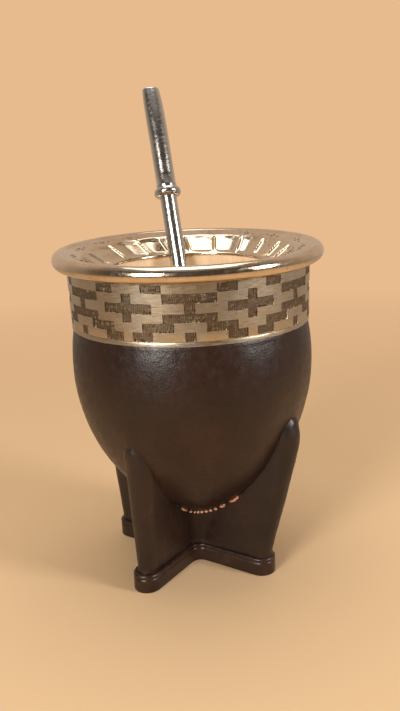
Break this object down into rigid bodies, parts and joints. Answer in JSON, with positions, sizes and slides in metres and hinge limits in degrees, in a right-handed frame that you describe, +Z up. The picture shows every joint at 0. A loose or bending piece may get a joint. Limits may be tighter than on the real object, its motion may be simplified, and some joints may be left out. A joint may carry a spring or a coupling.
{
  "type": "mate gourd with metal straw",
  "caption": "Leather-covered mate gourd on a cross-shaped finned stand, with a chased metal collar, a fluted flared lip and a ringed metal straw.",
  "frame": {"origin": "on the gourd's axis at the floor, the centre of the object's box at its base", "axes": "+Z up along the gourd's axis, X and Y along the stand's arms"},
  "size_m": [0.0979, 0.0978, 0.1814],
  "materials": {
    "gourd": "dry, pale gourd wall",
    "leather": "dark brown, fine grain, semi-gloss",
    "stand_leather": "dark brown, smooth, semi-gloss",
    "sole_leather": "dark brown, burnished edge",
    "collar_metal": "hand-chased, darkened recesses",
    "lip_metal": "polished, lightly worn",
    "straw_metal": "polished, lightly worn",
    "thread": "waxed tan sewing thread"
  },
  "bodies": {
    "root": {"gourd": "gourd", "body_leather": "leather", "stand": "stand_leather", "sole": "sole_leather", "collar": "collar_metal", "lip": "lip_metal", "straw_filter": "straw_metal", "straw_stem": "straw_metal", "straw_ring": "straw_metal", "straw_mouthpiece": "straw_metal", "seam_thread_back_right": "thread", "seam_thread_back_left": "thread", "seam_thread_front_left": "thread", "seam_thread_front_right": "thread"}
  },
  "joints": []
}
